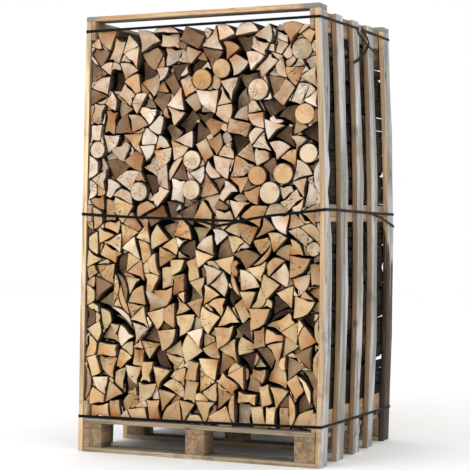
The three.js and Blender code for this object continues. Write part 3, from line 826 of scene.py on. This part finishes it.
# halves an outline across its longer way until its parts are no larger than the front row's logs
def splitOutline(corners, rng):
    if signedArea(corners) < logs["largest"] * rng.uniform(0.75, 1.25):
        return [corners]
    points = [Vector(corner) for corner in corners]
    middle = sum(points, Vector((0, 0))) / len(points)
    longest = max(points, key=lambda point: (point - middle).length) - middle
    turn = rng.uniform(-0.5, 0.5)
    across = Vector((longest.x * math.cos(turn) - longest.y * math.sin(turn),
                     longest.x * math.sin(turn) + longest.y * math.cos(turn))).normalized()
    gap = across * 0.0012
    parts = [clipped(points, middle + gap, across), clipped(points, middle - gap, -across)]
    return [piece for part in parts for piece in splitOutline(simplified(part), rng)]


# Splinters lie in the spaces between logs. Each fills the convex space that its neighbours'
# nearest points leave.
class Gaps:
    def __init__(self, outlines, box):
        self.solids = [[Vector(corner) for corner in outline] for outline in outlines]
        self.box = box
        self.near = {}
        for solid in self.solids:
            self.file(solid)

    def file(self, solid):
        reach = logs["splinterReach"]
        step = reach * 2

        def cells(places):
            first = math.floor((min(places) - reach) / step)
            return range(first, math.floor((max(places) + reach) / step) + 1)

        for column in cells([corner.x for corner in solid]):
            for row in cells([corner.y for corner in solid]):
                self.near.setdefault((column, row), []).append(solid)

    def around(self, point):
        step = logs["splinterReach"] * 2
        return self.near.get((math.floor(point.x / step), math.floor(point.y / step)), [])

    def isCovered(self, point, solids):
        above = point.y + logs["narrowest"]
        width = logs["coverWidth"]
        return any(
            corner.y > above for solid in solids for corner in solid if abs(corner.x - point.x) < width
        )

    def space(self, point):
        reach = logs["splinterReach"]
        solids = self.around(point)
        if not self.isCovered(point, solids):
            return None
        turn = point.x * 91 + point.y * 57
        corners = []
        for angle in (0, 1.9, 2.7, 4.3):
            corner = Vector((math.cos(turn + angle), math.sin(turn + angle)))
            corners.append(point + corner * reach * 1.2)
        for solid in solids:
            if isInside(solid, point):
                return None
            spot = nearestOn(solid, point)
            away = point - spot
            if away.length < logs["narrowest"]:
                return None
            corners = clipped(corners, spot + away.normalized() * logs["clearance"], away)
        return corners

    def fill(self, least, rng):
        (left, low), (right, top) = self.box
        step = logs["splinterStep"]
        found = []
        for column in range(int((right - left) / step)):
            for row in range(int((top - low) / step)):
                point = Vector((left + (column + 0.5) * step, low + (row + 0.5) * step))
                corners = self.space(point)
                if corners and signedArea(corners) > least:
                    found.append((signedArea(corners), point))
        splinters = []
        for area, point in sorted(found, key=lambda item: -item[0]):
            corners = self.space(point)
            if corners and signedArea(corners) > least:
                self.solids.append(corners)
                self.file(corners)
                share = logs["splinterShare"][1 if point.y > logs["halfway"] else 0]
                isNeeded = abs(point.x) > logs["filledFrom"] or area > logs["alwaysFilled"]
                if rng.random() < share or isNeeded:
                    splinters.append(simplified(corners))
        return splinters


# without the corners that lie very near to the one before
def simplified(corners):
    kept = []
    for corner in corners:
        if not kept or (corner - kept[-1]).length > logs["narrowest"]:
            kept.append(corner)
    if (kept[0] - kept[-1]).length < logs["narrowest"]:
        kept.pop()
    return [tuple(corner) for corner in kept]


def middleOf(corners):
    return Vector((sum(x for x, z in corners) / len(corners), sum(z for x, z in corners) / len(corners)))


# the crate as the logs need it: base and walls, where no splinter lies, are outlines seen from the front
crate = {
    "halfDepth": 0.5,
    "base": ((-0.7, 0.1), (0.7, 0.163)),
    "firstLevel": 0.15,
    "level": 0.14,  # height of one stretch of wall
    "levels": 14,
    "wall": 0.1,
    "inside": ((-0.62, 0.165), (0.64, 1.99)),
}


def isSunken(log):
    isBehind = abs(log["end"]) < crate["halfDepth"] - logs["sunkenBehind"]
    return isBehind and not isRoundLog(log["corners"])


def pushedBack(log, rng):
    if isRoundLog(log["corners"]):
        return 0
    if isSunken(log):
        return rng.uniform(0.1, 1) * logs["sunkenBy"]
    return rng.random() ** 2 * logs["setBack"]


def boxOutline(left, low, right, high):
    return [(left, low), (right, low), (right, high), (left, high)]


def crateOutlines(insides):
    outlines = [boxOutline(*crate["base"][0], *crate["base"][1])]
    for side, out in (("left", -crate["wall"]), ("right", crate["wall"])):
        inside = insides[side]
        for level in range(crate["levels"]):
            z = crate["firstLevel"] + level * crate["level"]
            above = crate["firstLevel"] + (level + 1) * crate["level"]
            low, high = inside(z), inside(above)
            wall = [(low, z), (high, above), (high + out, above), (low + out, z)]
            outlines.append(wall if signedArea(wall) > 0 else wall[::-1])
        for height in ("lower", "middle", "upper"):
            low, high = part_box(f"{side}_rail_{height}")
            outlines.append(boxOutline(low.x, low.z, high.x, high.z))
    return outlines


# The front and the back row are open to the outside. inwards is 1 where that is towards +Y.
def buildOpenRow(side, row, looseLogs, insides, rng):
    inwards = 1 if side == "front" else -1
    openEnd = "near" if side == "front" else "far"
    low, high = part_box(f"firewood_{side}_row")
    opening, hidden = (low.y, high.y) if side == "front" else (high.y, low.y)
    pile = LogPile()

    def isByLeftWall(corners):
        reach = insides["left"](middleOf(corners).y) + logs["byWall"]
        return side == "front" and min(x for x, z in corners) < reach

    def add(corners, depth, short, sunken=False):
        place = opening + inwards * depth * (logs["byWallDepth"] if isByLeftWall(corners) else 1)
        ends = sorted((place, hidden - inwards * rng.random() * short))
        pile.addLog(corners, *ends, openEnd, rng, sunken)

    outlines = [log["corners"] for log in row + looseLogs] + crateOutlines(insides)
    for corners in Gaps(outlines, crate["inside"]).fill(logs["splinterArea"], rng):
        add(corners, rng.uniform(*logs["splinterDepth"]), logs["splinterShort"])
    for log in row:
        depth = (log["end"] - opening) * inwards + pushedBack(log, rng)
        add(log["corners"], depth, logs["lengthSpread"], isSunken(log))
    pile.build(side + "RowLogs", [f"firewood_{side}_row"])


# the middle row is the front row turned round between the same walls
def buildMiddleRow(frontLogs, looseLogs, insides, rng):
    looseMiddles = [middleOf(log["corners"]) for log in looseLogs]
    low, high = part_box("firewood_middle_row")
    pile = LogPile()
    for log in frontLogs:
        corners = [(insides["left"](z) + insides["right"](z) - x, z) for x, z in reversed(log["corners"])]
        if any((middleOf(corners) - place).length < logs["sameLog"] for place in looseMiddles):
            continue
        near = low.y + rng.random() * logs["lengthSpread"]
        pile.addLog(corners, near, high.y - rng.random() * logs["lengthSpread"], None, rng)
    pile.build("middleRowLogs", ["firewood_middle_row"])


def buildLooseLog(node, log, rng):
    low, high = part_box(node)
    pile = LogPile()
    openEnd = "near" if "front" in node else "far" if "back" in node else None
    pile.addLog(log["corners"], low.y, high.y, openEnd, rng)
    pile.build(node + "_split", [node])


def buildRows():
    rng = random.Random(logs["seed"])
    frontRow = endOutlines("firewood_front_row", -1)
    backRow = [{"corners": part, "end": log["end"] - rng.random() * logs["backUneven"]}
               for log in endOutlines("firewood_back_row", 1) for part in splitOutline(log["corners"], rng)]
    looseNodes = [node for node in sorted(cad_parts) if node.startswith("loose_log")]
    loose = {node: endOutlines(node, -1)[0] for node in looseNodes}

    def looseIn(side):
        return [log for node, log in loose.items() if side in node]

    insides = {side: insideOfWall(side) for side in ("left", "right")}
    buildOpenRow("front", frontRow, looseIn("front"), insides, rng)
    buildOpenRow("back", backRow, looseIn("back"), insides, rng)
    buildMiddleRow(frontRow + looseIn("front"), looseIn("middle"), insides, rng)
    for node, log in loose.items():
        buildLooseLog(node, log, rng)
    print("logs made:", len(frontRow), "front,", len(backRow), "back")


buildRows()


def dressBands():
    for node in ("strap_top", "strap_middle", "strap_middle_second", "strap_bottom"):
        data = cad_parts[node].data
        data.materials.clear()
        data.materials.append(blackBand)
    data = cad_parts["strap_top_seal"].data
    data.materials.clear()
    data.materials.append(sealSteel)


dressBands()
print("bands dressed")

studio = {
    "floorSize": 30,
    "floor": shade(254, 254, 253),
    "world": (1.0, 1.0, 1.0, 1),
    "worldStrength": 1.0,
    "keyPower": 200,
    "fillPower": 40,
}


def addLight(name, place, target, size, power):
    lamp = bpy.data.lights.new(name, "AREA")
    lamp.size = size
    lamp.energy = power
    rig = bpy.data.objects.new(name, lamp)
    bpy.context.scene.collection.objects.link(rig)
    rig.location = place
    rig.rotation_euler = (Vector(target) - Vector(place)).to_track_quat("-Z", "Y").to_euler()


def buildStudio():
    deselectAll()
    bpy.ops.mesh.primitive_plane_add(size=studio["floorSize"], location=(0, 0, 0))
    floor = bpy.context.object
    floor.name = "floor"
    sheet = Sheet("paleFloor")
    grain = sheet.noise(sheet.place(), 3, 3)
    pale = sheet.mix(sheet.between(grain, 0.3, 0.7, 0, 0.05), studio["floor"], shade(244, 244, 242))
    floor.data.materials.append(sheet.finish({"Base Color": pale, "Roughness": 0.9}))
    world = bpy.data.worlds.new("studioSky")
    world.use_nodes = True
    background = world.node_tree.nodes["Background"]
    background.inputs["Color"].default_value = studio["world"]
    background.inputs["Strength"].default_value = studio["worldStrength"]
    bpy.context.scene.world = world
    addLight("keyLight", (-3.2, -6.5, 6.0), (0, 0, 1.0), 4.5, studio["keyPower"])
    addLight("fillLight", (6.5, -2.5, 3.5), (0, 0, 1.0), 4.0, studio["fillPower"])
    bpy.context.scene.view_settings.view_transform = "Standard"


buildStudio()
print("studio set")
